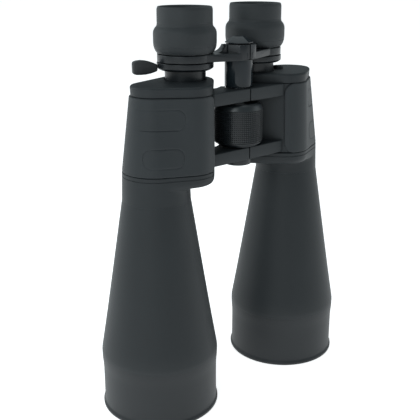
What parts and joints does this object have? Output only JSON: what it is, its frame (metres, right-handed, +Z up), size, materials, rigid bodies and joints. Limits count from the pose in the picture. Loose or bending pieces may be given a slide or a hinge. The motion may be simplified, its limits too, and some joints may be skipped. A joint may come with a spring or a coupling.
{
  "type": "zoom binoculars",
  "caption": "Large zoom Porro-prism binoculars standing on their lens hoods, with a centre hinge, focus wheel, zoom lever and rubber eyecups.",
  "frame": {"origin": "on the floor midway between the two lens hoods' rims, at the middle of the bounding box's bottom face", "axes": "+Z up along the optical axes from objectives to eyepieces; -Y towards the focus wheel's side; -X towards the user's right hand"},
  "size_m": [0.2126, 0.084, 0.2795],
  "materials": {
    "rubber": "fine matt moulded rubber",
    "armour": "soft rubber skin, finely stippled",
    "tube_coat": "turned tube with a rubberised matt black coat",
    "casing_paint": "die casting, satin black paint",
    "satin_black": "satin black anodised",
    "gloss_black": "gloss black",
    "black_metal": "matt black anodised, anti-reflection",
    "steel": "bare turned steel",
    "brass": "turned brass",
    "clear_glass": "polished optical glass",
    "coated_glass": "coated lens with a faint purple-green reflection",
    "lever_plastic": "moulded satin plastic with grip ribs"
  },
  "bodies": {
    "left_half": {"lens_hood_left": "rubber", "objective_tube_left": "tube_coat", "objective_cell_left": "black_metal", "objective_lens_left": "coated_glass", "retaining_ring_left": "black_metal", "prism_casing_left": "casing_paint", "rubber_skin_left": "armour", "upper_cover_left": "casing_paint", "lower_cover_left": "casing_paint", "prism_shelf_left": "black_metal", "upper_prism_left": "clear_glass", "upper_prism_clip_left": "steel", "lower_prism_left": "clear_glass", "lower_prism_clip_left": "steel", "hinge_guide_tube": "steel", "hinge_foot_pin": "black_metal", "tripod_socket_cap": "satin_black"},
    "right_half": {"lens_hood_right": "rubber", "objective_tube_right": "tube_coat", "objective_cell_right": "black_metal", "objective_lens_right": "coated_glass", "retaining_ring_right": "black_metal", "prism_casing_right": "casing_paint", "rubber_skin_right": "armour", "upper_cover_right": "casing_paint", "lower_cover_right": "casing_paint", "prism_shelf_right": "black_metal", "upper_prism_right": "clear_glass", "upper_prism_clip_right": "steel", "lower_prism_right": "clear_glass", "lower_prism_clip_right": "steel"},
    "focus_wheel": {"focus_wheel_core": "satin_black", "focus_wheel_grip": "rubber"},
    "bridge": {"bridge_arm_left": "satin_black", "bridge_cap": "gloss_black", "bridge_sleeve": "gloss_black", "focus_screw": "steel", "ocular_tube_left": "satin_black", "eyepiece_head_left": "satin_black", "eye_lens_left": "coated_glass", "rubber_eyecup_left": "rubber"},
    "right_bridge": {"bridge_arm_right": "satin_black", "ocular_tube_right": "satin_black"},
    "right_zoom": {"zoom_ring_right": "satin_black", "zoom_cam_sleeve_right": "black_metal", "zoom_lever": "lever_plastic"},
    "left_zoom": {"zoom_ring_left": "satin_black", "zoom_cam_sleeve_left": "black_metal"},
    "right_lower_zoom_cell": {"lower_zoom_cell_right": "brass", "lower_zoom_lens_right": "clear_glass"},
    "right_upper_zoom_cell": {"upper_zoom_cell_right": "brass", "upper_zoom_lens_right": "clear_glass"},
    "left_lower_zoom_cell": {"lower_zoom_cell_left": "brass", "lower_zoom_lens_left": "clear_glass"},
    "left_upper_zoom_cell": {"upper_zoom_cell_left": "brass", "upper_zoom_lens_left": "clear_glass"},
    "right_eyepiece_head": {"eyepiece_head_right": "satin_black", "rubber_eyecup_right": "rubber"},
    "dioptre_cell": {"dioptre_cell": "black_metal", "eye_lens_right": "coated_glass"}
  },
  "joints": [
    {"name": "interpupillary_hinge", "type": "hinge", "parent": "left_half", "child": "right_half", "pos_m": [0, -0.0122, 0.2], "axis": [0, 0, 1], "range_deg": [-26, 3]},
    {"name": "focus_slide", "type": "slide", "parent": "left_half", "child": "bridge", "axis": [0, 0, 1], "range_m": [0, 0.0085]},
    {"name": "focus_wheel_turn", "type": "hinge", "parent": "left_half", "child": "focus_wheel", "pos_m": [0, -0.0122, 0.2], "axis": [0, 0, 1], "range_deg": [0, 425.1]},
    {"name": "bridge_hinge", "type": "hinge", "parent": "bridge", "child": "right_bridge", "pos_m": [0, -0.0122, 0.2495], "axis": [0, 0, 1], "range_deg": [-26.1, 3.1]},
    {"name": "right_lower_zoom_slide", "type": "slide", "parent": "right_bridge", "child": "right_lower_zoom_cell", "axis": [0, 0, 1], "range_m": [-0.0012, 0.0042]},
    {"name": "right_upper_zoom_slide", "type": "slide", "parent": "right_bridge", "child": "right_upper_zoom_cell", "axis": [0, 0, 1], "range_m": [-0.0037, 0.0011]},
    {"name": "left_lower_zoom_slide", "type": "slide", "parent": "bridge", "child": "left_lower_zoom_cell", "axis": [0, 0, 1], "range_m": [-0.00125, 0.00425]},
    {"name": "left_upper_zoom_slide", "type": "slide", "parent": "bridge", "child": "left_upper_zoom_cell", "axis": [0, 0, 1], "range_m": [-0.0037, 0.0011]},
    {"name": "zoom_turn", "type": "hinge", "parent": "right_bridge", "child": "right_zoom", "pos_m": [-0.033, 0.0056, 0.2408], "axis": [0, 0, 1], "range_deg": [-20.1, 70.1]},
    {"name": "left_zoom_turn", "type": "hinge", "parent": "bridge", "child": "left_zoom", "pos_m": [0.033, 0.0056, 0.2408], "axis": [0, 0, 1], "range_deg": [-20.1, 70.1]},
    {"name": "dioptre_slide", "type": "slide", "parent": "right_bridge", "child": "dioptre_cell", "axis": [0, 0, 1], "range_m": [-0.0014, 0.0014]},
    {"name": "dioptre_turn", "type": "hinge", "parent": "right_bridge", "child": "right_eyepiece_head", "pos_m": [-0.033, 0.0056, 0.26], "axis": [0, 0, 1], "range_deg": [-60.1, 60.1]}
  ],
  "couplings": [
    {"joint": "focus_wheel_turn", "follows": "focus_slide", "rad_per_m": 872.66},
    {"joint": "bridge_hinge", "follows": "interpupillary_hinge", "ratio": 1},
    {"joint": "zoom_turn", "follows": "right_lower_zoom_slide", "rad_per_m": 290.89},
    {"joint": "left_zoom_turn", "follows": "right_lower_zoom_slide", "rad_per_m": 290.89},
    {"joint": "right_upper_zoom_slide", "follows": "right_lower_zoom_slide", "ratio": -0.85714},
    {"joint": "left_lower_zoom_slide", "follows": "right_lower_zoom_slide", "ratio": 1},
    {"joint": "left_upper_zoom_slide", "follows": "right_lower_zoom_slide", "ratio": -0.85714},
    {"joint": "dioptre_turn", "follows": "dioptre_slide", "rad_per_m": 748}
  ]
}
